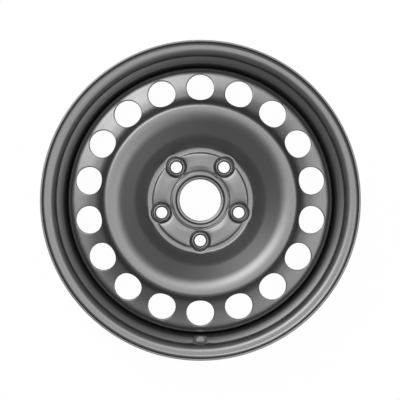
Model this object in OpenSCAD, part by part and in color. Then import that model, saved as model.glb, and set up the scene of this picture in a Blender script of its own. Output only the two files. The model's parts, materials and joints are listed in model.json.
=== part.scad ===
// Pressed and rolled steel road wheel: a drop-centre rim and a ventilated disc,
// joined by arc welds. The wheel axis is Z, the street side is up, and the
// origin is the centre of the face that seats on the hub.

/* [Rim] */
// Diameter of the tyre bead seats at the flanges
rim_seat_d = 405.6; // [340:0.1:500]
// Width between the two tyre flanges
rim_width = 165.1; // [110:0.1:240]
// Height of a flange above the bead seat
flange_h = 17.5; // [14:0.1:22]
// Axial width of a flange, from tyre face to lip
flange_w = 13; // [11.5:0.1:18]
// Thickness of the rolled rim strip
rim_t = 2.6; // [2:0.1:4]
// Depth of the well below the bead seat
well_depth = 17.4; // [15:0.1:26]
// Axial length of the well floor, corner to corner
well_w = 50; // [35:1:60]
// Slope of the bead seats, in degrees
seat_taper = 5; // [3:0.5:7]
// Distance of a safety hump from its flange
hump_x = 19.5; // [18:0.5:24]
// Height of the safety humps above the bead seat
hump_h = 1.1; // [0.5:0.1:2]

/* [Valve hole] */
// Diameter of the hole for a snap-in valve
valve_d = 11.4; // [9:0.1:16]
// Diameter of the coined flat round the valve hole
valve_flat_d = 17; // [15:0.5:20]

/* [Disc] */
// Thickness of the disc plate
disc_t = 4; // [3:0.1:6]
// Distance from the rim's centre plane to the hub face
wheel_offset = 46; // [30:0.5:60]
// Height of the crown above the hub face
crown_h = 41.5; // [34:0.5:50]
// Radial distance from the crown's edge out to the skirt
vent_band_w = 52.9; // [45:0.1:62]
// Drop from the crown to the vent band
step_drop = 7.9; // [4:0.1:10]
// Length of the straight skirt that is pressed into the well
skirt_len = 31; // [20:1:50]

/* [Vents] */
// Number of ventilation holes
vent_n = 18; // [8:1:20]
// Diameter of a ventilation hole
vent_d = 38.2; // [20:0.1:46]

/* [Hub seat] */
// Diameter of the centre bore
bore_d = 57.1; // [52:0.1:66]
// Number of wheel bolts
bolt_n = 5; // [4:1:6]
// Bolt circle diameter
bolt_circle_d = 112; // [104:0.1:136]
// Diameter of a bolt hole
bolt_hole_d = 15.3; // [12:0.1:18]
// Radius of the ball on the wheel bolt's head
ball_seat_r = 13; // [11:0.5:14]
// Distance from a bolt axis out to the foot of the bowl wall
bolt_to_wall = 16.8; // [16:0.1:24]

/* [Welds] */
// Number of weld beads between the skirt and the well
weld_n = 8; // [4:1:12]
// Angle that one bead covers, in degrees
weld_arc = 24; // [10:1:28]
// Leg length of a bead
weld_leg = 4.2; // [3:0.1:6]

/* [Hidden] */
$fn = 144;

paint = [0.11, 0.11, 0.115];
weld_paint = [0.09, 0.09, 0.095];

// Degrees of arc covered by one step of a rounding: wide, middling and small ones
wide_step = 7;
mid_step = 20;
small_step = 45;
wide_from = 8;
mid_from = 3.5;
// Cutters run this far past the faces they cut
past = 1;

// Rim, measured on the tyre side
seat_r = rim_seat_d / 2;
flange_r = seat_r + flange_h;
well_r = seat_r - well_depth;
street_z = rim_width / 2 - wheel_offset;
car_z = -rim_width / 2 - wheel_offset;
curl_r = 9.5;
heel_r = 6.5;
hump_foot = 5;
hump_round = 5;
hump_foot_round = 8;
side_tilt = 25;
side_round = 18;
side_top_r = seat_on(hump_x) + hump_h;
side_top_z = street_z - hump_x;
side_foot_z = side_top_z - (side_top_r - well_r) * tan(side_tilt);
well_corner_r = 14.5;
ramp_tilt = 20;
ramp_round = 20;
barrel_drop = 4.5;
barrel_r = seat_r - barrel_drop;
well_end_z = side_foot_z - well_w;
ramp_end_z = well_end_z - (barrel_r - well_r) / tan(ramp_tilt);

// Valve hole, coined into the rounded side of the well. The bolts and vents are set out from it
valve_angle = 270;
valve_tilt = 36;
valve_rise = 10;
valve_sink = 0.7;
valve_flat_edge = 0.9;
valve_r = well_r - rim_t + valve_rise;
side_arc_r = side_round + rim_t;
side_corner_z = side_foot_z + rim_t * (1 / cos(side_tilt) - tan(side_tilt));
side_arc_z = side_corner_z - side_arc_r * tan(45 - side_tilt / 2);
valve_z = side_arc_z + sqrt(pow(side_arc_r, 2) - pow(side_arc_r - valve_rise, 2));

// Disc, measured on the street side unless a name says otherwise
press_gap = 0.1;
skirt_r = well_r - rim_t - press_gap;
crown_r = skirt_r - vent_band_w;
crown_round = 5;
step_run = 6.8;
step_round = 20;
step_foot_r = crown_r + step_run;
step_foot_z = crown_h - step_drop;
band_top_tilt = 27;
band_edge_tilt = 9;
band_round = 88;
band_bend_at = 0.4;
band_bend_r = step_foot_r + band_bend_at * (skirt_r - step_foot_r);
band_bend_z = step_foot_z - (band_bend_r - step_foot_r) * tan(band_top_tilt);
shoulder_round = 13;
shoulder_z = band_bend_z - (skirt_r - band_bend_r) * tan(band_edge_tilt);
skirt_top_z = shoulder_z - shoulder_round * tan(45 - band_edge_tilt / 2);
skirt_end_z = skirt_top_z - skirt_len;

// Hub seat levels, above the hub face
ring_z = disc_t + 2.5;
collar_z = disc_t + 3.4;
valley_z = disc_t + 1.9;
island_z = disc_t + 5;
ledge_z = disc_t - 0.3;
island_in_z = island_z - disc_t;
ring_in_z = ring_z - disc_t;
bore_r = bore_d / 2;
bolt_r = bolt_circle_d / 2;
bolt_hole_r = bolt_hole_d / 2;
bowl_foot_r = bolt_r + bolt_to_wall;
bore_bevel = 0.9;
ledge_w = 3.6;
ledge_r = bore_r + ledge_w;
press_round = 1.4;
collar_flank = 2.2;
collar_r = ledge_r + collar_flank;
collar_w = 4.2;
collar_end_r = collar_r + collar_w;
valley_flank = 1.9;
valley_r = collar_end_r + valley_flank;
island_flank = 3.3;
island_round = 2.5;
island_r = valley_r + island_flank;
ring_w = 6.4;
ring_in_r = bowl_foot_r - ring_w;
island_end_r = ring_in_r - valley_flank;

// Bowl, from the foot of its wall to the crown
foot_round = 3;
wall_run = 17.2;
wall_rise_share = 0.55;
wall_round = 20;
wall_top_r = bowl_foot_r + wall_run;
wall_top_z = ring_z + wall_rise_share * (crown_h - ring_z);
bowl_bend_at = 0.645;
bowl_round = 33;
bowl_bend_r = wall_top_r + bowl_bend_at * (crown_r - wall_top_r);

// Bolt seats: a ball seat in a raised boss, standing in a pocket
boss_w = 3.2;
boss_flank = 1.3;
boss_r = bolt_hole_r + boss_w;
boss_z = disc_t + 3.1;
boss_foot_r = boss_r + boss_flank;
seat_land = 0.6;
pocket_floor_r = boss_foot_r + 0.7;
pocket_wall = 1.9;
pocket_edge_r = pocket_floor_r + pocket_wall;
pocket_step = 0.4;
island_end_run = 9.5;
island_end_clear = 0.1;
relief_r = boss_r - 0.9;
relief_z = 1.2;

// Contact pads on the hub side, one under each pocket
pad_r = pocket_edge_r + 0.3;
pad_flank = 2;
pad_foot_z = ring_in_z + pocket_step;
pad_end_run = 1.2;
pad_end_rise = 0.4;
pad_top_z = island_in_z + 0.8;

// Lobes that the bolt seats press into the foot of the bowl wall
lobe_out = 1.7;
lobe_r = bolt_to_wall + lobe_out;
lobe_lean = 2.2;
lobe_floor = 0.1;
lobe_top_z = ring_z + 8;
lobe_clear = 1;

// Radius of a bead seat at a distance from its flange
function seat_on(x) = seat_r - x * tan(seat_taper);

// Unit vector from a to b, in the plane
function way(a, b) = let (d = [b[0] - a[0], b[1] - a[1]]) d / norm(d);

// Angle inside the corner at point i of a path
function inside(p, i) = acos(max(-1, min(1, way(p[i], p[i - 1]) * way(p[i], p[i + 1]))));

// Length that the rounding of corner i would take from each of its sides
function wanted(p, i) =
    i == 0 || i == len(p) - 1 || p[i][2] == 0 ? 0 : p[i][2] / tan(inside(p, i) / 2);

// Share of that length that side i, from point i to the next, has room for
function room(p, i) = let (side = norm([p[i + 1][0] - p[i][0], p[i + 1][1] - p[i][1]]))
    min(1, 0.98 * side / max(0.001, wanted(p, i) + wanted(p, i + 1)));

// A path of [radius, height, rounding] corners as points, with arcs at its corners
function rounded(p) = [for (i = [0:len(p) - 1]) each
    wanted(p, i) == 0 ? [[p[i][0], p[i][1]]] : let (
        u = way(p[i], p[i - 1]), v = way(p[i], p[i + 1]), half = inside(p, i) / 2,
        cut = wanted(p, i) * min(room(p, i - 1), room(p, i)),
        round_r = cut * tan(half),
        mid = [p[i][0], p[i][1]] + way([0, 0], u + v) * round_r / sin(half),
        from = [p[i][0], p[i][1]] + u * cut - mid,
        turn = (180 - 2 * half) * (u[0] * v[1] - u[1] * v[0] > 0 ? -1 : 1),
        step = round_r > wide_from ? wide_step : round_r > mid_from ? mid_step : small_step,
        steps = max(1, ceil(abs(turn) / step))
    ) [for (s = [0:steps]) let (a = turn * s / steps)
        mid + [from[0] * cos(a) - from[1] * sin(a), from[0] * sin(a) + from[1] * cos(a)]]
];

// Left-hand normal of the side that starts at point i
function across(p, i) = let (d = way(p[i], p[i + 1])) [-d[1], d[0]];

// The same path moved t to its left, with the roundings that keep the sheet even
function moved(p, t) = [for (i = [0:len(p) - 1]) let (
    n1 = across(p, max(0, i - 1)), n2 = across(p, min(len(p) - 2, i)),
    shift = (n1 + n2) * t / (1 + n1 * n2),
    left_turn = n1[0] * n2[1] - n1[1] * n2[0] > 0
) [p[i][0] + shift[0], p[i][1] + shift[1],
    p[i][2] == 0 ? 0 : max(0.4, p[i][2] + (left_turn ? -t : t))]];

function backwards(p) = [for (i = [len(p) - 1:-1:0]) p[i]];

// One side of the rim from the safety hump out to the lip, as distances from the flange
flange_path = [
    [side_top_r, -hump_x, hump_round],
    [seat_on(hump_x - hump_foot), hump_foot - hump_x, hump_foot_round],
    [seat_r, 0, heel_r],
    [flange_r, 0, curl_r],
    [flange_r, flange_w, 0]
];

// Tyre side of the whole rim, from the lip by the car to the lip by the street
rim_path = concat(
    backwards([for (q = flange_path) [q[0], car_z - q[1], q[2]]]),
    [
        [barrel_r, ramp_end_z, ramp_round],
        [well_r, well_end_z, well_corner_r],
        [well_r, side_foot_z, side_round]
    ],
    [for (q = flange_path) [q[0], street_z + q[1], q[2]]]
);

// Puts a child on the valve hole: origin on the coined flat, +Z out of the flat
module at_valve() {
    rotate([0, 0, valve_angle]) translate([valve_r, 0, valve_z])
        rotate([0, -valve_tilt, 0]) translate([0, 0, -valve_sink]) children();
}

module rim() {
    color(paint) difference() {
        union() {
            rotate_extrude() polygon(concat(rounded(rim_path), backwards(rounded(moved(rim_path, rim_t)))));
            at_valve() translate([0, 0, -rim_t]) cylinder(d = valve_flat_d + 2 * valve_flat_edge, h = rim_t);
        }
        at_valve() cylinder(d = valve_flat_d, h = 2 * rim_t);
        at_valve() translate([0, 0, -3 * rim_t]) cylinder(d = valve_d, h = 4 * rim_t);
    }
}

// Street side of the disc, from the bore out to the end of the skirt
plate_path = [
    [bowl_foot_r, ring_z, foot_round],
    [wall_top_r, wall_top_z, wall_round],
    [bowl_bend_r, crown_h, bowl_round],
    [crown_r, crown_h, crown_round],
    [step_foot_r, step_foot_z, step_round],
    [band_bend_r, band_bend_z, band_round],
    [skirt_r, shoulder_z, shoulder_round],
    [skirt_r, skirt_end_z, 0]
];
hub_path = [
    [bore_r + bore_bevel, ledge_z, 0],
    [ledge_r, ledge_z, press_round],
    [collar_r, collar_z, press_round],
    [collar_end_r, collar_z, press_round],
    [valley_r, valley_z, press_round],
    [island_r, island_z, island_round],
    [island_end_r, island_z, press_round],
    [ring_in_r, ring_z, press_round]
];

// Hub side of the same pressing, where the small forms show rounder
soft_round = 3;
hub_in_path = [
    [bore_r, 0, 0],
    [ledge_r + collar_flank, 0, soft_round],
    [collar_end_r, collar_z - disc_t, soft_round],
    [island_r + island_round, island_in_z, soft_round],
    [island_end_r, island_in_z, soft_round],
    [ring_in_r + valley_flank, ring_in_z, soft_round]
];

// The plate as pressed, before any hole is made
module pressed_plate() {
    street = rounded(concat(hub_path, plate_path));
    plate_in_path = moved(concat([[ring_in_r + 2 * valley_flank, ring_z, 0]], plate_path), -disc_t);
    hub = rounded(concat(hub_in_path, plate_in_path));
    rotate_extrude() polygon(concat([[bore_r, ledge_z - bore_bevel]], street, backwards(hub)));
}

// Puts a child on each bolt axis
module at_bolts() {
    for (k = [0:bolt_n - 1]) rotate([0, 0, valve_angle + k * 360 / bolt_n])
        translate([bolt_r, 0, 0]) children();
}

// Flat pad on the hub side, under one bolt pocket
module contact_pad() {
    flank_r = pad_r + pad_flank;
    end_r = flank_r + pad_end_run;
    rotate_extrude() polygon([
        [0, 0], [pad_r, 0], [flank_r, pad_foot_z],
        [end_r, pad_foot_z + pad_end_rise], [end_r, pad_top_z], [0, pad_top_z]
    ]);
}

// Hollow round one boss
module pocket() {
    rotate_extrude() polygon([
        [0, disc_t],
        [pocket_floor_r, disc_t],
        [pocket_edge_r, ring_z + pocket_step],
        [0, ring_z + pocket_step]
    ]);
}

// Long slopes by which the islands run down to a pocket, inside the ring
module island_ends() {
    intersection() {
        rotate_extrude() polygon([
            [0, ring_z],
            [pocket_edge_r, ring_z + pocket_step],
            [pocket_edge_r + island_end_run, island_z + past],
            [0, island_z + past]
        ]);
        translate([-bolt_r, 0, 0]) cylinder(r = ring_in_r - island_end_clear, h = crown_h);
    }
}

// Room for the wrench that a pocket takes out of the foot of the bowl wall
module lobe() {
    difference() {
        rotate_extrude() polygon([
            [0, ring_z + lobe_floor],
            [lobe_r, ring_z + lobe_floor],
            [lobe_r + lobe_lean, lobe_top_z],
            [0, lobe_top_z]
        ]);
        translate([-bolt_r, 0, 0]) cylinder(r = ring_in_r + lobe_clear, h = crown_h);
    }
}

// Raised boss with its foot, before the ball seat is cut
module boss() {
    rotate_extrude() polygon([
        [0, disc_t - past], [boss_foot_r, disc_t - past], [boss_foot_r, disc_t], [boss_r, boss_z], [0, boss_z]
    ]);
}

// Ball seat, bolt hole and the relief behind it
module bolt_hole() {
    seat_centre_z = boss_z + sqrt(pow(ball_seat_r, 2) - pow(boss_r - seat_land, 2));
    translate([0, 0, seat_centre_z]) sphere(r = ball_seat_r);
    translate([0, 0, -past]) cylinder(r = bolt_hole_r, h = island_z);
    translate([0, 0, -past]) cylinder(r = relief_r, h = relief_z + past);
}

// Ventilation hole, punched square to the band
module vent_punch() {
    band_tilt = (band_top_tilt + band_edge_tilt) / 2;
    translate([band_bend_r, 0, band_bend_z]) rotate([0, band_tilt, 0])
        translate([0, 0, -3 * disc_t]) cylinder(d = vent_d, h = 7 * disc_t);
}

module disc() {
    color(paint) difference() {
        union() {
            difference() {
                union() {
                    pressed_plate();
                    at_bolts() contact_pad();
                }
                at_bolts() pocket();
                at_bolts() island_ends();
                at_bolts() lobe();
            }
            at_bolts() boss();
        }
        at_bolts() bolt_hole();
        translate([0, 0, -past]) cylinder(r = bore_r, h = disc_t + past);
        for (k = [0:vent_n - 1]) rotate([0, 0, valve_angle + k * 360 / vent_n]) vent_punch();
    }
}

// One fillet bead in the corner between the skirt's end and the well floor
module weld_bead(k) {
    bead_gap = 0.05;
    well_in_r = well_r - rim_t - bead_gap;
    top_z = skirt_end_z - bead_gap;
    bulge = [for (a = [180:15:270]) [well_in_r + 1.12 * weld_leg * cos(a) * (0.9 - 0.12 * sin(2 * a)),
        top_z + 1.12 * weld_leg * sin(a) * (0.9 - 0.12 * sin(2 * a))]];
    color(weld_paint) rotate([0, 0, valve_angle + (k - 0.5) * 360 / weld_n - weld_arc / 2])
        rotate_extrude(angle = weld_arc) polygon(concat([[well_in_r, top_z]], bulge));
}

rim();
disc();
for (k = [1:weld_n])
    weld_bead(k);
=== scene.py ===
"""A pressed-steel road wheel of a car, lying street side up under soft studio light.

Sizes are in millimetres up to the studio, and MM turns them into Blender's metres.
"""

import json
import math

import bmesh
import bpy
import numpy as np
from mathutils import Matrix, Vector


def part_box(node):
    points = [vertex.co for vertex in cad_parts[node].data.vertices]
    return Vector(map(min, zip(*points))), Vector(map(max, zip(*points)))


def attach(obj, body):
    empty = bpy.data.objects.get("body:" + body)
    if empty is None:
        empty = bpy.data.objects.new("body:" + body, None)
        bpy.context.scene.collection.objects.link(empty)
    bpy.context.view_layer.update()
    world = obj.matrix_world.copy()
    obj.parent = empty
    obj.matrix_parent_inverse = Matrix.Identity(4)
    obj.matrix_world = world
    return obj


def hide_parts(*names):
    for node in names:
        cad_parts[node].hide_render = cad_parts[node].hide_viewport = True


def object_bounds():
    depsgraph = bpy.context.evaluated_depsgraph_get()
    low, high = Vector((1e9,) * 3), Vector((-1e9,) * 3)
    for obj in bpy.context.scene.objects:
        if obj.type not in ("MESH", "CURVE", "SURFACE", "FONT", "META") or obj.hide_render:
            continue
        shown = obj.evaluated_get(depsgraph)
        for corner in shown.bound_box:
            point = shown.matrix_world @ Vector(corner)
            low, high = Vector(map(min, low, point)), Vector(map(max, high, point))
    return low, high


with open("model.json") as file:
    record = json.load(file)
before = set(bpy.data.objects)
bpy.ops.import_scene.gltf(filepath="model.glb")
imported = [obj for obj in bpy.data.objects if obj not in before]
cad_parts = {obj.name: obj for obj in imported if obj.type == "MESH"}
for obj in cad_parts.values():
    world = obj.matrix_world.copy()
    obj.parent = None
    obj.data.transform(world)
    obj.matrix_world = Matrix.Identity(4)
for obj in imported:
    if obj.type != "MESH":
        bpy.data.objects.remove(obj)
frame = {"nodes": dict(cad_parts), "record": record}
cad_low, cad_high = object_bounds()


# Rim: one strip of sheet steel, rolled to a drop-centre section and butt-welded into a hoop.
# Its flanges and seats hold the tyre, and the disc is pressed into its well. The valve hole
# is pierced through a flat that is coined into the street side of the well.
MM = 0.001
RIM_SHEET = 2.6
FLANGE_W = 13.0
FLANGE_H = 17.5
WELL_DEPTH = 17.4
WELL_W = 50.0
WELL_ROUND = 14.5
SIDE_ROUND = 18.0
SEAT_SLOPE = math.tan(math.radians(5))
HUMP_X = 19.5
HUMP_H = 1.1
HUMP_FOOT = 5.0
SIDE_SLOPE = math.tan(math.radians(25))
RAMP_SLOPE = math.tan(math.radians(20))
BARREL_DROP = 4.5
EDGE_ROUND = 0.7

rim_low, rim_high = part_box("rim")
flange_r = rim_high.x / MM
street_z = rim_high.z / MM - FLANGE_W
car_z = rim_low.z / MM + FLANGE_W
seat_r = flange_r - FLANGE_H
well_r = seat_r - WELL_DEPTH
mounts = {mount["name"]: mount for mount in frame["record"]["mounts"]}


def unit(vector):
    """The same direction, one long."""
    return vector / np.linalg.norm(vector)


def rounded(corners, step=8.0):
    """Points of an outline of (radius, height, rounding) corners, with arcs of about step degrees."""
    spots = [np.array(corner[:2], float) for corner in corners]
    ends = (0, len(corners) - 1)
    halves, cuts = [], []
    for i, corner in enumerate(corners):
        if i in ends or corner[2] == 0:
            halves.append(math.pi / 2)
            cuts.append(0.0)
            continue
        turn = unit(spots[i - 1] - spots[i]) @ unit(spots[i + 1] - spots[i])
        halves.append(math.acos(max(-1.0, min(1.0, turn))) / 2)
        cuts.append(corner[2] / math.tan(halves[-1]))
    room = [
        min(1.0, 0.98 * np.linalg.norm(spots[i + 1] - spots[i]) / max(0.001, cuts[i] + cuts[i + 1]))
        for i in range(len(corners) - 1)
    ]
    points = []
    for i, spot in enumerate(spots):
        if cuts[i] == 0:
            points.append(spot)
            continue
        back, ahead = unit(spots[i - 1] - spot), unit(spots[i + 1] - spot)
        cut = cuts[i] * min(room[i - 1], room[i])
        radius = cut * math.tan(halves[i])
        middle = spot + unit(back + ahead) * radius / math.sin(halves[i])
        arm = spot + back * cut - middle
        sweep = math.pi - 2 * halves[i]
        sign = -1 if back[0] * ahead[1] - back[1] * ahead[0] > 0 else 1
        steps = max(2, math.ceil(math.degrees(sweep) / step))
        for k in range(steps + 1):
            a = sign * sweep * k / steps
            swung = (arm[0] * math.cos(a) - arm[1] * math.sin(a), arm[0] * math.sin(a) + arm[1] * math.cos(a))
            points.append(middle + swung)
    return np.array(points)


def moved(corners, distance):
    """The same outline moved to its left, with the roundings that keep the sheet even."""
    spots = [np.array(corner[:2], float) for corner in corners]
    lefts = []
    for here, there in zip(spots, spots[1:]):
        way = unit(there - here)
        lefts.append(np.array((-way[1], way[0])))
    out = []
    for i, corner in enumerate(corners):
        before, after = lefts[max(0, i - 1)], lefts[min(len(lefts) - 1, i)]
        shift = (before + after) * distance / (1 + before @ after)
        turns_left = before[0] * after[1] - before[1] * after[0] > 0
        grown = corner[2] - distance if turns_left else corner[2] + distance
        out.append((*(spots[i] + shift), max(0.4, grown) if corner[2] else 0.0))
    return out


def run_along(line):
    """Length along a line of points, at each of them."""
    return np.concatenate(([0.0], np.cumsum(np.linalg.norm(np.diff(line, axis=0), axis=1))))


def turned(line):
    """Surface of revolution of a line of (radius, height), as a function of (angle, run)."""
    run = run_along(line)

    def surface(spots):
        r = np.interp(spots[..., 1], run, line[:, 0])
        z = np.interp(spots[..., 1], run, line[:, 1])
        return np.stack((r * np.cos(spots[..., 0]), r * np.sin(spots[..., 0]), z), axis=-1)

    return surface


def mesh_grid(angles, runs):
    """Parameter pairs of a plain grid, one row for each run."""
    return np.stack(np.meshgrid(angles, runs), axis=-1)


class Hole:
    """A round hole: its centre, its axis out of the sheet, and two directions across it."""

    def __init__(self, centre, along, axis, radius):
        self.centre = np.array(centre, float)
        self.axis = unit(np.array(axis, float))
        self.along = unit(np.array(along, float))
        self.across = np.cross(self.axis, self.along)
        self.radius = radius

    def flat(self, points):
        """Points as seen along the axis, and their height over the hole's plane."""
        away = points - self.centre
        return np.stack((away @ self.along, away @ self.across), axis=-1), away @ self.axis

    def spokes(self, directions):
        """Unit directions away from the axis."""
        return np.outer(np.cos(directions), self.along) + np.outer(np.sin(directions), self.across)

    def ring(self, surface, radius, border, directions):
        """Parameters of the ring where a cylinder about the axis meets a surface."""
        goal = radius * np.stack((np.cos(directions), np.sin(directions)), axis=-1)
        flat, _ = self.flat(surface(border))
        share = radius / np.linalg.norm(flat, axis=1)
        middle = border.mean(axis=0)
        spots = middle + (border - middle) * share[:, None]
        nudge = (1e-4, 1e-2)
        newton_steps = 9
        for _ in range(newton_steps):
            here, _ = self.flat(surface(spots))
            columns = []
            for k in (0, 1):
                moved_spots = spots.copy()
                moved_spots[:, k] += nudge[k]
                there, _ = self.flat(surface(moved_spots))
                columns.append((there - here) / nudge[k])
            a, b = columns
            short = goal - here
            size = a[:, 0] * b[:, 1] - a[:, 1] * b[:, 0]
            spots[:, 0] += (short[:, 0] * b[:, 1] - short[:, 1] * b[:, 0]) / size
            spots[:, 1] += (a[:, 0] * short[:, 1] - a[:, 1] * short[:, 0]) / size
        return spots

    def side(self, surface, border, radii, shares):
        """Rows of points on a sheet's side, from the hole's edge ring out to the border."""
        flat, _ = self.flat(surface(border))
        directions = np.arctan2(flat[:, 1], flat[:, 0])
        rings = [self.ring(surface, radius, border, directions) for radius in radii]
        rings += [rings[-1] * (1 - share) + border * share for share in shares]
        return np.stack([surface(ring) for ring in rings]), self.spokes(directions)

    def through(self, street_side, under_side, roll, burr):
        """Rows from the street side's border, down through the hole, to the under side's border."""
        top, spokes = street_side
        bottom, under_spokes = under_side
        rows = list(top[::-1])
        for a in np.radians((25, 50, 75, 90)):
            rows.append(top[0] - spokes * roll * math.sin(a) - self.axis * roll * (1 - math.cos(a)))
        for a in np.radians((90, 45)):
            rows.append(bottom[0] - under_spokes * burr * math.sin(a) + self.axis * burr * (1 - math.cos(a)))
        rows += list(bottom)
        return np.stack(rows)


def cell_border(angles, runs):
    """The outline of a grid of angles and runs, once round."""
    first, last = angles[0], angles[-1]
    sides = [(a, runs[0]) for a in angles[:-1]] + [(last, q) for q in runs[:-1]]
    sides += [(a, runs[-1]) for a in angles[:0:-1]] + [(first, q) for q in runs[:0:-1]]
    return np.array(sides)


def shell(name, sheets):
    """One closed mesh of several grids of points in millimetres, joined where they meet."""
    spots, faces, start = [], [], 0
    for sheet, closed in sheets:
        rows, columns = sheet.shape[:2]
        spots.append(sheet.reshape(-1, 3) * MM)
        for i in range(rows - 1):
            for j in range(columns if closed else columns - 1):
                k = (j + 1) % columns
                a, b = start + i * columns, start + (i + 1) * columns
                faces.append((a + j, a + k, b + k, b + j))
        start += rows * columns
    mesh = bpy.data.meshes.new(name)
    mesh.from_pydata(np.concatenate(spots).tolist(), [], faces)
    work = bmesh.new()
    work.from_mesh(mesh)
    bmesh.ops.remove_doubles(work, verts=work.verts, dist=2e-6)
    bmesh.ops.recalc_face_normals(work, faces=work.faces)
    work.to_mesh(mesh)
    work.free()
    mesh.shade_smooth()
    piece = bpy.data.objects.new(name, mesh)
    bpy.context.scene.collection.objects.link(piece)
    weighted = piece.modifiers.new("even_shading", "WEIGHTED_NORMAL")
    weighted.keep_sharp = True
    return piece


def seat_at(distance):
    """Radius of a bead seat at a distance from its flange."""
    return seat_r - distance * SEAT_SLOPE


side_top_r = seat_at(HUMP_X) + HUMP_H
side_top_z = street_z - HUMP_X
side_foot_z = side_top_z - (side_top_r - well_r) * SIDE_SLOPE
well_end_z = side_foot_z - WELL_W
barrel_r = seat_r - BARREL_DROP
ramp_end_z = well_end_z - (barrel_r - well_r) / RAMP_SLOPE
flange_corners = [
    (side_top_r, -HUMP_X, 5.0),
    (seat_at(HUMP_X - HUMP_FOOT), HUMP_FOOT - HUMP_X, 8.0),
    (seat_r, 0.0, 6.5),
    (flange_r, 0.0, 7.5),
    (flange_r, FLANGE_W, 0.0),
]
rim_corners = [(r, car_z - z, rounding) for r, z, rounding in reversed(flange_corners)]
rim_corners += [
    (barrel_r, ramp_end_z, 20.0),
    (well_r, well_end_z, WELL_ROUND),
    (well_r, side_foot_z, SIDE_ROUND),
]
rim_corners += [(r, street_z + z, rounding) for r, z, rounding in flange_corners]


def lip(outer, inner, into_sheet):
    """Points of a sheared and softened sheet edge, from the outer to the inner side."""
    across = unit(inner - outer)
    down = np.array((0.0, into_sheet))
    first, last = [], []
    for a in np.radians((0, 30, 60, 90)):
        inward = across * EDGE_ROUND * (1 - math.cos(a))
        sunk = down * EDGE_ROUND * (1 - math.sin(a))
        first.append(outer + inward + sunk)
        last.append(inner - inward + sunk)
    return first + last[::-1]


VALVE_HOLE_R = 5.7
VALVE_ROLL = 0.6
VALVE_BURR = 0.3
VALVE_FLAT_R = 8.4
VALVE_FLANK = 1.6
VALVE_RINGS = (VALVE_HOLE_R + VALVE_ROLL, 7.2, 8.1, 8.4, 8.7, 9.0, 9.3, 9.6, 9.9, 10.2)
VALVE_SHARES = (0.15, 0.35, 0.6, 0.8, 1)
VALVE_CELL = math.radians(6)
VALVE_CELL_RUN = 18.5
VALVE_COLUMNS = 29
PLAIN_COLUMNS = 233
valve_mount = mounts["valve_hole"]
valve_at = np.array(valve_mount["pos_m"]) / MM
valve = Hole(valve_at, (1, 0, 0), valve_mount["axis"], VALVE_HOLE_R)
valve_angle = math.atan2(valve_at[1], valve_at[0])
valve_columns = valve_angle + np.linspace(-VALVE_CELL, VALVE_CELL, VALVE_COLUMNS)
plain_sweep = 2 * math.pi - 2 * VALVE_CELL
plain_columns = valve_angle + VALVE_CELL + np.linspace(0, plain_sweep, PLAIN_COLUMNS)


def coined(surface, level):
    """A side of the rim with the flat coined into it, at a level below the flat's face."""

    def pressed(spots):
        points = surface(spots)
        flat, height = valve.flat(points)
        reach = (np.linalg.norm(flat, axis=-1) - VALVE_FLAT_R) / VALVE_FLANK
        share = np.clip(reach, 0, 1)
        keep = share * share * (3 - 2 * share)
        return points + (((level - height) * (1 - keep))[..., None] * valve.axis)

    return pressed


def valve_rows(line):
    """First and last row of a rim line that the valve's cell takes up."""
    away = line - (math.hypot(valve_at[0], valve_at[1]), valve_at[2])
    near = np.where(np.linalg.norm(away, axis=1) < VALVE_CELL_RUN)[0]
    return near[0], near[-1]


tyre_line = rounded(rim_corners)
inner_line = rounded(moved(rim_corners, RIM_SHEET))
street_lip = lip(tyre_line[-1], inner_line[-1], -1)
car_lip = lip(inner_line[0], tyre_line[0], 1)
rim_sheets = []
cells = []
first, last = valve_rows(inner_line)
for line, level in ((inner_line, 0.0), (tyre_line, -RIM_SHEET)):
    run = run_along(line)
    surface = turned(line)
    rim_sheets.append((surface(mesh_grid(plain_columns, run[1:-1])), False))
    rim_sheets.append((surface(mesh_grid(valve_columns, run[1:first + 1])), False))
    rim_sheets.append((surface(mesh_grid(valve_columns, run[last:-1])), False))
    border = cell_border(valve_columns, run[first:last + 1])
    cells.append(valve.side(coined(surface, level), border, VALVE_RINGS, VALVE_SHARES))
all_columns = np.concatenate((plain_columns, valve_columns[1:]))
for edge in (
    [tyre_line[-2], *street_lip, inner_line[-2]],
    [inner_line[1], *car_lip, tyre_line[1]],
):
    edge = np.array(edge)
    rim_sheets.append((turned(edge)(mesh_grid(all_columns, run_along(edge))), False))
rim_sheets.append((valve.through(*cells, VALVE_ROLL, VALVE_BURR), True))
rim = shell("rim_shell", rim_sheets)


PAINT_IOR = 2.4
CLOUD_SCALE = 22
DARK_TINT = (0.88, 0.88, 0.89)
LIGHT_TINT = (1.12, 1.12, 1.13)
GLOSS_SPREAD = 0.02
PEEL_SCALE = 700
PEEL_STRENGTH = 0.05
PEEL_DEPTH = 0.2 * MM


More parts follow.
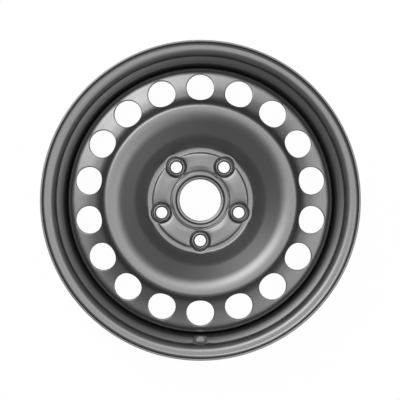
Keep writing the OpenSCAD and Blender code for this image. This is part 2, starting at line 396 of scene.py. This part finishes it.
def satin_paint(name, shade, roughness):
    """Dip paint, baked: near black, satin, with a faint orange peel and uneven gloss."""
    material = bpy.data.materials.new(name)
    material.use_nodes = True
    nodes, links = material.node_tree.nodes, material.node_tree.links
    paint = nodes["Principled BSDF"]
    place = nodes.new("ShaderNodeTexCoord")
    cloud = nodes.new("ShaderNodeTexNoise")
    cloud.inputs["Scale"].default_value = CLOUD_SCALE
    cloud.inputs["Detail"].default_value = 3
    links.new(place.outputs["Object"], cloud.inputs["Vector"])
    tint = nodes.new("ShaderNodeMix")
    tint.data_type = "RGBA"
    for socket, colour in ((tint.inputs[6], DARK_TINT), (tint.inputs[7], LIGHT_TINT)):
        socket.default_value = (*(shade * part for part in colour), 1)
    links.new(cloud.outputs["Fac"], tint.inputs["Factor"])
    links.new(tint.outputs[2], paint.inputs["Base Color"])
    gloss = nodes.new("ShaderNodeMapRange")
    gloss.inputs["To Min"].default_value = roughness - GLOSS_SPREAD
    gloss.inputs["To Max"].default_value = roughness + GLOSS_SPREAD
    links.new(cloud.outputs["Fac"], gloss.inputs["Value"])
    links.new(gloss.outputs["Result"], paint.inputs["Roughness"])
    peel = nodes.new("ShaderNodeTexNoise")
    peel.inputs["Scale"].default_value = PEEL_SCALE
    peel.inputs["Detail"].default_value = 1
    links.new(place.outputs["Object"], peel.inputs["Vector"])
    bump = nodes.new("ShaderNodeBump")
    bump.inputs["Strength"].default_value = PEEL_STRENGTH
    bump.inputs["Distance"].default_value = PEEL_DEPTH
    links.new(peel.outputs["Fac"], bump.inputs["Height"])
    links.new(bump.outputs["Normal"], paint.inputs["Normal"])
    paint.inputs["IOR"].default_value = PAINT_IOR
    return material


wheel_paint = satin_paint("black_wheel_paint", shade=0.011, roughness=0.3)
rim.data.materials.append(wheel_paint)
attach(rim, "root")
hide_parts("rim")


# Disc: one pressing of hot-rolled steel plate. The hub seat is stiffened by raised islands
# between the bolt pockets, the bowl rises to a crown, and the sloping band outside it is
# punched with round holes for cooling air. The skirt is pressed into the rim's well.
PLATE = 4.0
CROWN_H = 41.5
BAND_W = 52.9
STEP_DROP = 7.9
STEP_RUN = 6.8
SKIRT_GAP = 0.1
VENTS = 18
VENT_R = 19.1
BAND_TILTS = (math.radians(27), math.radians(9))
BAND_BEND = 0.4
BAND_ROUND = 88.0

bolts = mounts["wheel_bolts"]["dims"]
bolt_ring_r = bolts["pcd_mm"] / 2
bolt_hole_r = bolts["hole_r_mm"]
bolt_sector = 2 * math.pi / bolts["count"]
bore_r = mounts["centre_bore"]["dims"]["r_mm"]
disc_low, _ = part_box("disc")
skirt_r = well_r - RIM_SHEET - SKIRT_GAP
skirt_end_z = disc_low.z / MM
crown_r = skirt_r - BAND_W
step_r = crown_r + STEP_RUN
step_z = CROWN_H - STEP_DROP
bend_r = step_r + BAND_BEND * (skirt_r - step_r)
bend_z = step_z - (bend_r - step_r) * math.tan(BAND_TILTS[0])
shoulder_z = bend_z - (skirt_r - bend_r) * math.tan(BAND_TILTS[1])

# Its street side, as corners of (radius, height, rounding)
STREET_BREAK = 0.9
LEDGE_Z = 3.7
COLLAR_R = 34.35
COLLAR_Z = 7.4
ISLAND_Z = 9.0
RING_Z = 6.5
RING_R = 66.4
BOWL_FOOT = (72.8, RING_Z)
WALL_TOP = (90.0, 25.75)
HUB_END_R = 80.5
wall_slope = (WALL_TOP[1] - BOWL_FOOT[1]) / (WALL_TOP[0] - BOWL_FOOT[0])
hub_start = [
    (bore_r + STREET_BREAK, LEDGE_Z, 0),
    (32.15, LEDGE_Z, 1.4),
    (COLLAR_R, COLLAR_Z, 1.4),
    (38.1, COLLAR_Z, 1.2),
    (39.7, 6.4, 0.8),
]
island_top = [(41.5, 8.0, 1.5), (47.5, ISLAND_Z, 12.0), (61.5, ISLAND_Z, 16.0), (64.6, 8.7, 2.0)]
bowl_end = [
    (RING_R, RING_Z, 1.6),
    (*BOWL_FOOT, 3.0),
    (HUB_END_R, BOWL_FOOT[1] + (HUB_END_R - BOWL_FOOT[0]) * wall_slope, 0),
    (*WALL_TOP, 20.0),
    (115.67, CROWN_H, 33.0),
    (crown_r + 2.0, CROWN_H, 6.5),
    (step_r + 4.0, step_z - 2.0, 24.0),
    (bend_r, bend_z, BAND_ROUND),
    (skirt_r, shoulder_z, 13.0),
    (skirt_r, skirt_end_z, 0),
]
LINE_STEP = 7.0
street_line = rounded(hub_start + island_top + bowl_end, LINE_STEP)
low_line = rounded(hub_start + bowl_end, LINE_STEP)


def under_of(line, thickness):
    """The other side of a sheet, from the normals of its street side."""
    ways = np.diff(line, axis=0)
    ways = ways / np.linalg.norm(ways, axis=1)[:, None]
    joined = np.vstack((ways[:1], ways[1:] + ways[:-1], ways[-1:]))
    joined = joined / np.linalg.norm(joined, axis=1)[:, None]
    return line - thickness * np.stack((-joined[:, 1], joined[:, 0]), axis=-1)


plate_under = under_of(street_line, PLATE)
hub_end = np.argmin(np.abs(street_line[:, 0] - HUB_END_R))
under_line = rounded([
    (bore_r, 0, 0),
    (COLLAR_R, 0, 3.0),
    (38.55, COLLAR_Z - PLATE, 3.0),
    (46.25, ISLAND_Z - PLATE, 3.0),
    (64.5, ISLAND_Z - PLATE, 3.0),
    (68.3, RING_Z - PLATE, 3.0),
    (74.6, RING_Z - PLATE, 7.0),
    (*plate_under[hub_end], 0),
], 10.0)


def from_bolt(spots):
    """How far (angle, radius) spots lie outward and sideways of the nearest bolt's axis."""
    angle, r = spots[..., 0] - valve_angle, spots[..., 1]
    angle = (angle + bolt_sector / 2) % bolt_sector - bolt_sector / 2
    return r * np.cos(angle) - bolt_ring_r, r * np.sin(angle)


def lower_of(a, b, blend):
    """The lower of two heights, with a fillet where they cross."""
    near = np.clip(1 - np.abs(a - b) / blend, 0, 1)
    return np.minimum(a, b) - near * near * blend / 4


SEAT_BALL_R = 13.0
SEAT_R = 9.9
BOSS_R = 11.15
BOSS_FOOT_R = 12.45
BOSS_Z = 7.1
POCKET_R = 12.5
POCKET_END_R = 14.75
POCKET_OUT = 0.7
POCKET_SQUEEZE = 1.05
THROAT_R = 40.3
THROAT_DEPTH = 1.5
THROAT_LENGTH = 1.7
THROAT_WIDTH = 6.0
SHARP = 0.02
ISLAND_BLEND = 0.9
LOBE_BLEND = 0.8
POCKET_BLEND = 0.9
boss_line = rounded(
    [(0, BOSS_Z, 0), (BOSS_R, BOSS_Z, 0.4), (BOSS_FOOT_R, PLATE, 0.1), (14, PLATE, 0)],
    22,
)
pocket_line = np.array([(0, PLATE), (POCKET_R, PLATE), (POCKET_END_R, 6.9), (60, 76)])
island_end_line = np.array([
    (0, 2.1),
    (POCKET_END_R, 6.9),
    (15.6, 7.9),
    (19.5, 8.7),
    (24.5, 9.3),
    (60, 13),
])
lobe_line = np.array([(0, RING_Z + 0.1), (18.5, RING_Z + 0.1), (23.5, 24.8), (33, 60)])
seat_centre_z = BOSS_Z + math.sqrt(SEAT_BALL_R ** 2 - SEAT_R ** 2)


def along_line(line, at):
    """Height of a line of (distance, height) points at a distance."""
    return np.interp(at, line[:, 0], line[:, 1])


def hub_street(spots):
    """Street side of the hub seat and the foot of the bowl, over (angle, radius)."""
    angle, r = spots[..., 0], spots[..., 1]
    outward, sideways = from_bolt(spots)
    d = np.hypot(outward, sideways)
    pocket_d = np.hypot(outward - POCKET_OUT, sideways * POCKET_SQUEEZE)
    z = along_line(street_line, r)
    above = z - along_line(low_line, r)
    inside = r < RING_R + 1
    island_blend = SHARP + ISLAND_BLEND * np.clip(above, 0, 1.5)
    z = np.where(inside, lower_of(z, along_line(island_end_line, pocket_d), island_blend), z)
    lobe_blend = SHARP + LOBE_BLEND * np.clip(z - RING_Z - 0.2, 0, 1)
    z = np.where(inside, z, lower_of(z, along_line(lobe_line, d), lobe_blend))
    z = lower_of(z, along_line(pocket_line, pocket_d), POCKET_BLEND)
    throat = np.exp(-((r - THROAT_R) / THROAT_LENGTH) ** 2 - (sideways / THROAT_WIDTH) ** 2)
    z = z - THROAT_DEPTH * throat
    z = np.where(d < POCKET_R, along_line(boss_line, d), z)
    seat = seat_centre_z - np.sqrt(np.maximum(0, SEAT_BALL_R ** 2 - d * d))
    z = np.where(d < SEAT_R, seat, z)
    return np.stack((r * np.cos(angle), r * np.sin(angle), z), axis=-1)


PAD_R = 15.05
PAD_BLEND = 0.6
RELIEF = 1.2
pad_line = np.array([
    (0, 0),
    (PAD_R, 0),
    (PAD_R + 2, 2.9),
    (PAD_R + 3.2, 3.3),
    (PAD_R + 4.5, 9),
    (60, 210),
])
relief_line = np.array([(0, RELIEF), (9.95, RELIEF), (10.35, 0), (30, 0)])


def hub_back(spots):
    """Hub side of the hub seat: a ring and five round pads in one plane, hollow between."""
    angle, r = spots[..., 0], spots[..., 1]
    d = np.hypot(*from_bolt(spots))
    z = lower_of(along_line(under_line, r), along_line(pad_line, d), PAD_BLEND)
    z = np.where(d < PAD_R, along_line(relief_line, d), z)
    return np.stack((r * np.cos(angle), r * np.sin(angle), z), axis=-1)


def spaced(values, least, most):
    """The same rising values, without near doubles, and with others put into wide gaps."""
    out = [values[0]]
    for value in values[1:]:
        if least < value - out[-1] and (value == values[-1] or least < values[-1] - value):
            parts = math.ceil((value - out[-1]) / most)
            out += list(np.linspace(out[-1], value, parts + 1)[1:])
    return np.array(out)


def between(values, low, high):
    """The values that lie between two limits."""
    return values[(values > low) & (values < high)]


COLUMNS = 270
CELL_COLUMNS = 33
HUB_CELL_IN = 36.4
ROW_GAPS = (0.45, 1.3)
ROW_CLEAR = 0.4
column = 2 * math.pi / COLUMNS
disc_angles = valve_angle + (np.arange(COLUMNS) + 0.5) * column

# Hub seat: plain rows of points between the bolts, and a cell of rings round each bolt
profile_rows = between(street_line[:, 0], HUB_CELL_IN + ROW_CLEAR, HUB_END_R - ROW_CLEAR)
hub_rows = spaced(np.concatenate(([HUB_CELL_IN], profile_rows, [HUB_END_R])), *ROW_GAPS)
under_end_r = plate_under[hub_end, 0]
back_rows = HUB_CELL_IN + (hub_rows - HUB_CELL_IN) * (under_end_r - HUB_CELL_IN) / (HUB_END_R - HUB_CELL_IN)
BACK_BREAK = 0.4
bore_back = np.array((HUB_CELL_IN, 35.4, COLLAR_R, 33.1, 31.0, bore_r + BACK_BREAK))
bore_wall = np.array([(bore_r, BACK_BREAK), (bore_r, LEDGE_Z - STREET_BREAK)])
bore_rows = between(street_line[:, 0], 0, HUB_CELL_IN + ROW_CLEAR)[:-1]
disc_sheets = [(
    np.concatenate((
        hub_back(mesh_grid(disc_angles, bore_back)),
        turned(bore_wall)(mesh_grid(disc_angles, run_along(bore_wall))),
        hub_street(mesh_grid(disc_angles, bore_rows)),
        hub_street(mesh_grid(disc_angles, [HUB_CELL_IN])),
    )),
    True,
)]

CELL_RINGS = (
    bolt_hole_r + 0.6, 9.2, 9.75, SEAT_R, 10.1, 10.9, 11.3, 11.8, 12.25, POCKET_R,
    12.8, 13.2, 13.9, 14.5, 14.8, 15.1, 15.5, 15.9, 16.8, 17.8, 18.4, 18.8, 19.2,
)
BACK_RINGS = (
    bolt_hole_r + 0.3, 9.3, 9.9, 10.4, 11.0, 13.0, 14.8, 15.1, 15.6, 16.2, 16.8, 17.3, 18.2, 19.0,
)
STREET_STEPS = 9
BACK_STEPS = 4
BOLT_WALL_Z = (4.55, 4.2, 1.5)


def bolt_cell(surface, rows, middle, rings, steps):
    """Rows of points on one side of the hub seat, from a bolt hole's edge to its cell's border."""
    angles = middle + (np.arange(CELL_COLUMNS + 1) - CELL_COLUMNS / 2) * column
    border = cell_border(angles, rows)
    centre = np.array((math.cos(middle), math.sin(middle))) * bolt_ring_r
    flat = np.stack((border[:, 1] * np.cos(border[:, 0]), border[:, 1] * np.sin(border[:, 0])), axis=-1)
    spokes = (flat - centre) / np.linalg.norm(flat - centre, axis=1)[:, None]
    sheet = []
    for ring in rings:
        at = centre + spokes * ring
        turn = np.arctan2(at[:, 1], at[:, 0]) - middle
        angle = middle + (turn + math.pi) % (2 * math.pi) - math.pi
        sheet.append(np.stack((angle, np.hypot(*at.T)), axis=-1))
    inner_ring = sheet[-1]
    sheet += [inner_ring + (border - inner_ring) * (k + 1) / steps for k in range(steps)]
    return np.stack([surface(ring) for ring in sheet]), spokes


for k in range(bolts["count"]):
    middle = valve_angle + k * bolt_sector
    street_cell, spokes = bolt_cell(hub_street, hub_rows, middle, CELL_RINGS, STREET_STEPS)
    back_cell, _ = bolt_cell(hub_back, back_rows, middle, BACK_RINGS, BACK_STEPS)
    centre = np.array((math.cos(middle), math.sin(middle))) * bolt_ring_r
    at = centre + spokes * bolt_hole_r
    wall = np.stack([np.column_stack((at, np.full(len(at), z))) for z in BOLT_WALL_Z])
    disc_sheets.append((np.concatenate((street_cell[::-1], wall, back_cell)), True))
    gap_columns = COLUMNS // bolts["count"] - CELL_COLUMNS
    gap_angles = middle + (np.arange(gap_columns + 1) + CELL_COLUMNS / 2) * column
    disc_sheets.append((hub_street(mesh_grid(gap_angles, hub_rows)), False))
    disc_sheets.append((hub_back(mesh_grid(gap_angles, back_rows)), False))

# Bowl: from the hub seat to the vents' cells
VENT_CELL_R = (135.0, 174.6)
vent_cell_in, vent_cell_out = np.searchsorted(street_line[:, 0], VENT_CELL_R)
bowl_rows = slice(hub_end, vent_cell_in + 1)
for line in (street_line, plate_under):
    piece_line = line[bowl_rows]
    disc_sheets.append((turned(piece_line)(mesh_grid(disc_angles, run_along(piece_line))), True))

# Vent band: one cell round each vent
VENT_ROLL = 1.1
VENT_BURR = 0.3
VENT_FLAT = 1.6
VENT_SHARES = (0.25, 0.5, 0.75, 1)
band_street = turned(street_line)
street_run = run_along(street_line)
back_run = run_along(plate_under)
band_back = turned(plate_under)
vent_sector = 2 * math.pi / VENTS
band_tilt = sum(BAND_TILTS) / 2
bend_fill = BAND_ROUND * (1 / math.cos((BAND_TILTS[0] - BAND_TILTS[1]) / 2) - 1)
for k in range(VENTS):
    middle = valve_angle + k * vent_sector
    out = np.array((math.cos(middle), math.sin(middle), 0))
    axis = out * math.sin(band_tilt) + np.array((0, 0, math.cos(band_tilt)))
    along = out * math.cos(band_tilt) - np.array((0, 0, math.sin(band_tilt)))
    centre = out * bend_r + np.array((0, 0, bend_z)) + axis * bend_fill
    vent = Hole(centre, along, axis, VENT_R)
    angles = middle + np.linspace(-vent_sector / 2, vent_sector / 2, COLUMNS // VENTS + 1)
    cell = []
    for surface, run, edge in ((band_street, street_run, VENT_ROLL), (band_back, back_run, VENT_BURR)):
        border = cell_border(angles, run[vent_cell_in:vent_cell_out + 1])
        cell.append(vent.side(surface, border, (VENT_R + edge, VENT_R + VENT_FLAT), VENT_SHARES))
    disc_sheets.append((vent.through(*cell, VENT_ROLL, VENT_BURR), True))

# Shoulder and skirt, down to the sheared end and back up inside
skirt_end = lip(street_line[-1], plate_under[-1], 1)
skirt_line = np.vstack((street_line[vent_cell_out:-1], skirt_end, plate_under[vent_cell_out:-1][::-1]))
disc_sheets.append((turned(skirt_line)(mesh_grid(disc_angles, run_along(skirt_line))), True))

disc = shell("disc_shell", disc_sheets)
disc.data.materials.append(wheel_paint)
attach(disc, "root")
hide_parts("disc")


# Weld beads: arc welds laid by a robot in the corner between the skirt's end and the well,
# each with the fine ripples of the frozen pool. They are painted over with the wheel.
BEAD_ARC = math.radians(24)
BEAD_GAP = 0.05
BEAD_LEG = 4.2
BEAD_CROWN = 0.6
RIPPLE_RUN = 1.5
RIPPLE_DEPTH = 0.25
RIPPLE_BOW = 1.6
END_RUN = 3.0
BEAD_ROWS = 301
BEAD_POINTS = 9
weld_paint = satin_paint("painted_weld", shade=0.014, roughness=0.36)
bead_names = sorted(name for name in frame["nodes"] if name.startswith("weld_bead_"))
corner = np.array((well_r - RIM_SHEET - BEAD_GAP, skirt_end_z - BEAD_GAP))
toe_share = np.linspace(0, 1, BEAD_POINTS)
hump = 4 * toe_share * (1 - toe_share)
bead_turns = np.linspace(-BEAD_ARC / 2, BEAD_ARC / 2, BEAD_ROWS)
for k, name in enumerate(bead_names):
    middle = valve_angle + (k + 0.5) * 2 * math.pi / len(bead_names)
    rows = []
    for turn in bead_turns:
        from_end = (BEAD_ARC / 2 - abs(turn)) * corner[0]
        full = math.sqrt(max(0, 1 - max(0, 1 - from_end / END_RUN) ** 2))
        wave = 0.5 - 0.5 * np.cos(2 * math.pi * (turn * corner[0] + RIPPLE_BOW * hump) / RIPPLE_RUN)
        rise = BEAD_CROWN * hump - RIPPLE_DEPTH * wave * hump ** 0.5
        r = corner[0] - (BEAD_LEG * (1 - toe_share) + rise * math.sqrt(0.5)) * full
        z = corner[1] - (BEAD_LEG * toe_share + rise * math.sqrt(0.5)) * full
        r, z = np.append(r, corner[0]), np.append(z, corner[1])
        rows.append(np.stack((r * math.cos(middle + turn), r * math.sin(middle + turn), z), axis=-1))
    bead = shell(name + "_rippled", [(np.stack(rows), True)])
    bead.data.materials.append(weld_paint)
    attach(bead, "root")
    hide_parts(name)


# Studio: a white floor under the wheel and soft round patches of light above it. The camera
# looks straight down on the street side from far away. Its sizes are in metres.
CAMERA_AWAY = 6.0
SENSOR_W = 36
PHOTO_WIDTH = 0.5490
AIM = (-0.0006, 0.0005)
STAND = (-0.040, 0.045)

camera_data = bpy.data.cameras.new("camera")
camera_data.sensor_width = SENSOR_W
camera_data.lens = SENSOR_W * CAMERA_AWAY / PHOTO_WIDTH
camera_data.clip_end = 100
camera = bpy.data.objects.new("camera", camera_data)
camera.location = (*STAND, rim_high.z + CAMERA_AWAY)
camera.rotation_euler = (
    math.atan((AIM[1] - STAND[1]) / CAMERA_AWAY),
    -math.atan((AIM[0] - STAND[0]) / CAMERA_AWAY),
    0,
)
bpy.context.scene.collection.objects.link(camera)
bpy.context.scene.camera = camera


def math_node(tree, operation, first, second):
    """Output of a new Math node of a material or world, on numbers or other nodes' outputs."""
    node = tree.nodes.new("ShaderNodeMath")
    node.operation = operation
    for socket, value in zip(node.inputs, (first, second)):
        if isinstance(value, (int, float)):
            socket.default_value = value
        else:
            tree.links.new(value, socket)
    return node.outputs[0]


# The floor glows only for the camera and for reflections, so it shows as white as the photo's
FLOOR_SIZE = 60.0
FLOOR_GAP = 0.0002
FLOOR_GLOW = 0.985
bpy.ops.mesh.primitive_plane_add(size=FLOOR_SIZE, location=(0, 0, cad_low.z - FLOOR_GAP))
floor = bpy.context.object
floor.name = "floor"
floor_material = bpy.data.materials.new("white_floor")
floor_material.use_nodes = True
tree = floor_material.node_tree
nodes, links = tree.nodes, tree.links
nodes["Principled BSDF"].inputs["Base Color"].default_value = (0.8, 0.8, 0.8, 1)
nodes["Principled BSDF"].inputs["Roughness"].default_value = 0.9
glow = nodes.new("ShaderNodeEmission")
seen = nodes.new("ShaderNodeLightPath")
direct = math_node(tree, "MAXIMUM", seen.outputs["Is Camera Ray"], seen.outputs["Is Glossy Ray"])
shown = math_node(tree, "MAXIMUM", direct, seen.outputs["Is Transmission Ray"])
blend = nodes.new("ShaderNodeMixShader")
links.new(math_node(tree, "MULTIPLY", shown, FLOOR_GLOW), blend.inputs[0])
links.new(nodes["Principled BSDF"].outputs[0], blend.inputs[1])
links.new(glow.outputs[0], blend.inputs[2])
links.new(blend.outputs[0], nodes["Material Output"].inputs["Surface"])
floor.data.materials.append(floor_material)

# A dim dome with round patches of (azimuth, angle from the zenith, strength) for soft lamps
DOME_LIGHT = 0.35
DIFFUSER_SPREAD = 16.0
DIFFUSERS = ((120, 24, 3.35), (135, 36, 2.1), (0, 25, 1.65), (315, 36, 0.75))
world = bpy.data.worlds.new("studio")
world.use_nodes = True
tree = world.node_tree
nodes, links = tree.nodes, tree.links
toward = nodes.new("ShaderNodeTexCoord")
seen = nodes.new("ShaderNodeLightPath")
backdrop = nodes.new("ShaderNodeMix")
backdrop.inputs["B"].default_value = 1.0
links.new(seen.outputs["Is Camera Ray"], backdrop.inputs["Factor"])
links.new(backdrop.outputs["Result"], nodes["Background"].inputs["Strength"])
nodes["Background"].inputs["Color"].default_value = (1, 1, 1, 1)
bpy.context.scene.world = world


def diffuser(azimuth, polar, strength):
    """A soft round patch of light, placed by azimuth from +X and angle from the zenith."""
    a, p = math.radians(azimuth), math.radians(polar)
    near = nodes.new("ShaderNodeVectorMath")
    near.operation = "DOT_PRODUCT"
    links.new(toward.outputs["Generated"], near.inputs[0])
    near.inputs[1].default_value = (math.sin(p) * math.cos(a), math.sin(p) * math.sin(a), math.cos(p))
    fall = math_node(tree, "SUBTRACT", near.outputs["Value"], 1.0)
    fall = math_node(tree, "MULTIPLY", fall, DIFFUSER_SPREAD)
    return math_node(tree, "MULTIPLY", math_node(tree, "EXPONENT", fall, 0.0), strength)


light = DOME_LIGHT
for azimuth, polar, strength in DIFFUSERS:
    light = math_node(tree, "ADD", diffuser(azimuth, polar, strength), light)
links.new(light, backdrop.inputs["A"])

bpy.context.scene.view_settings.view_transform = "Standard"
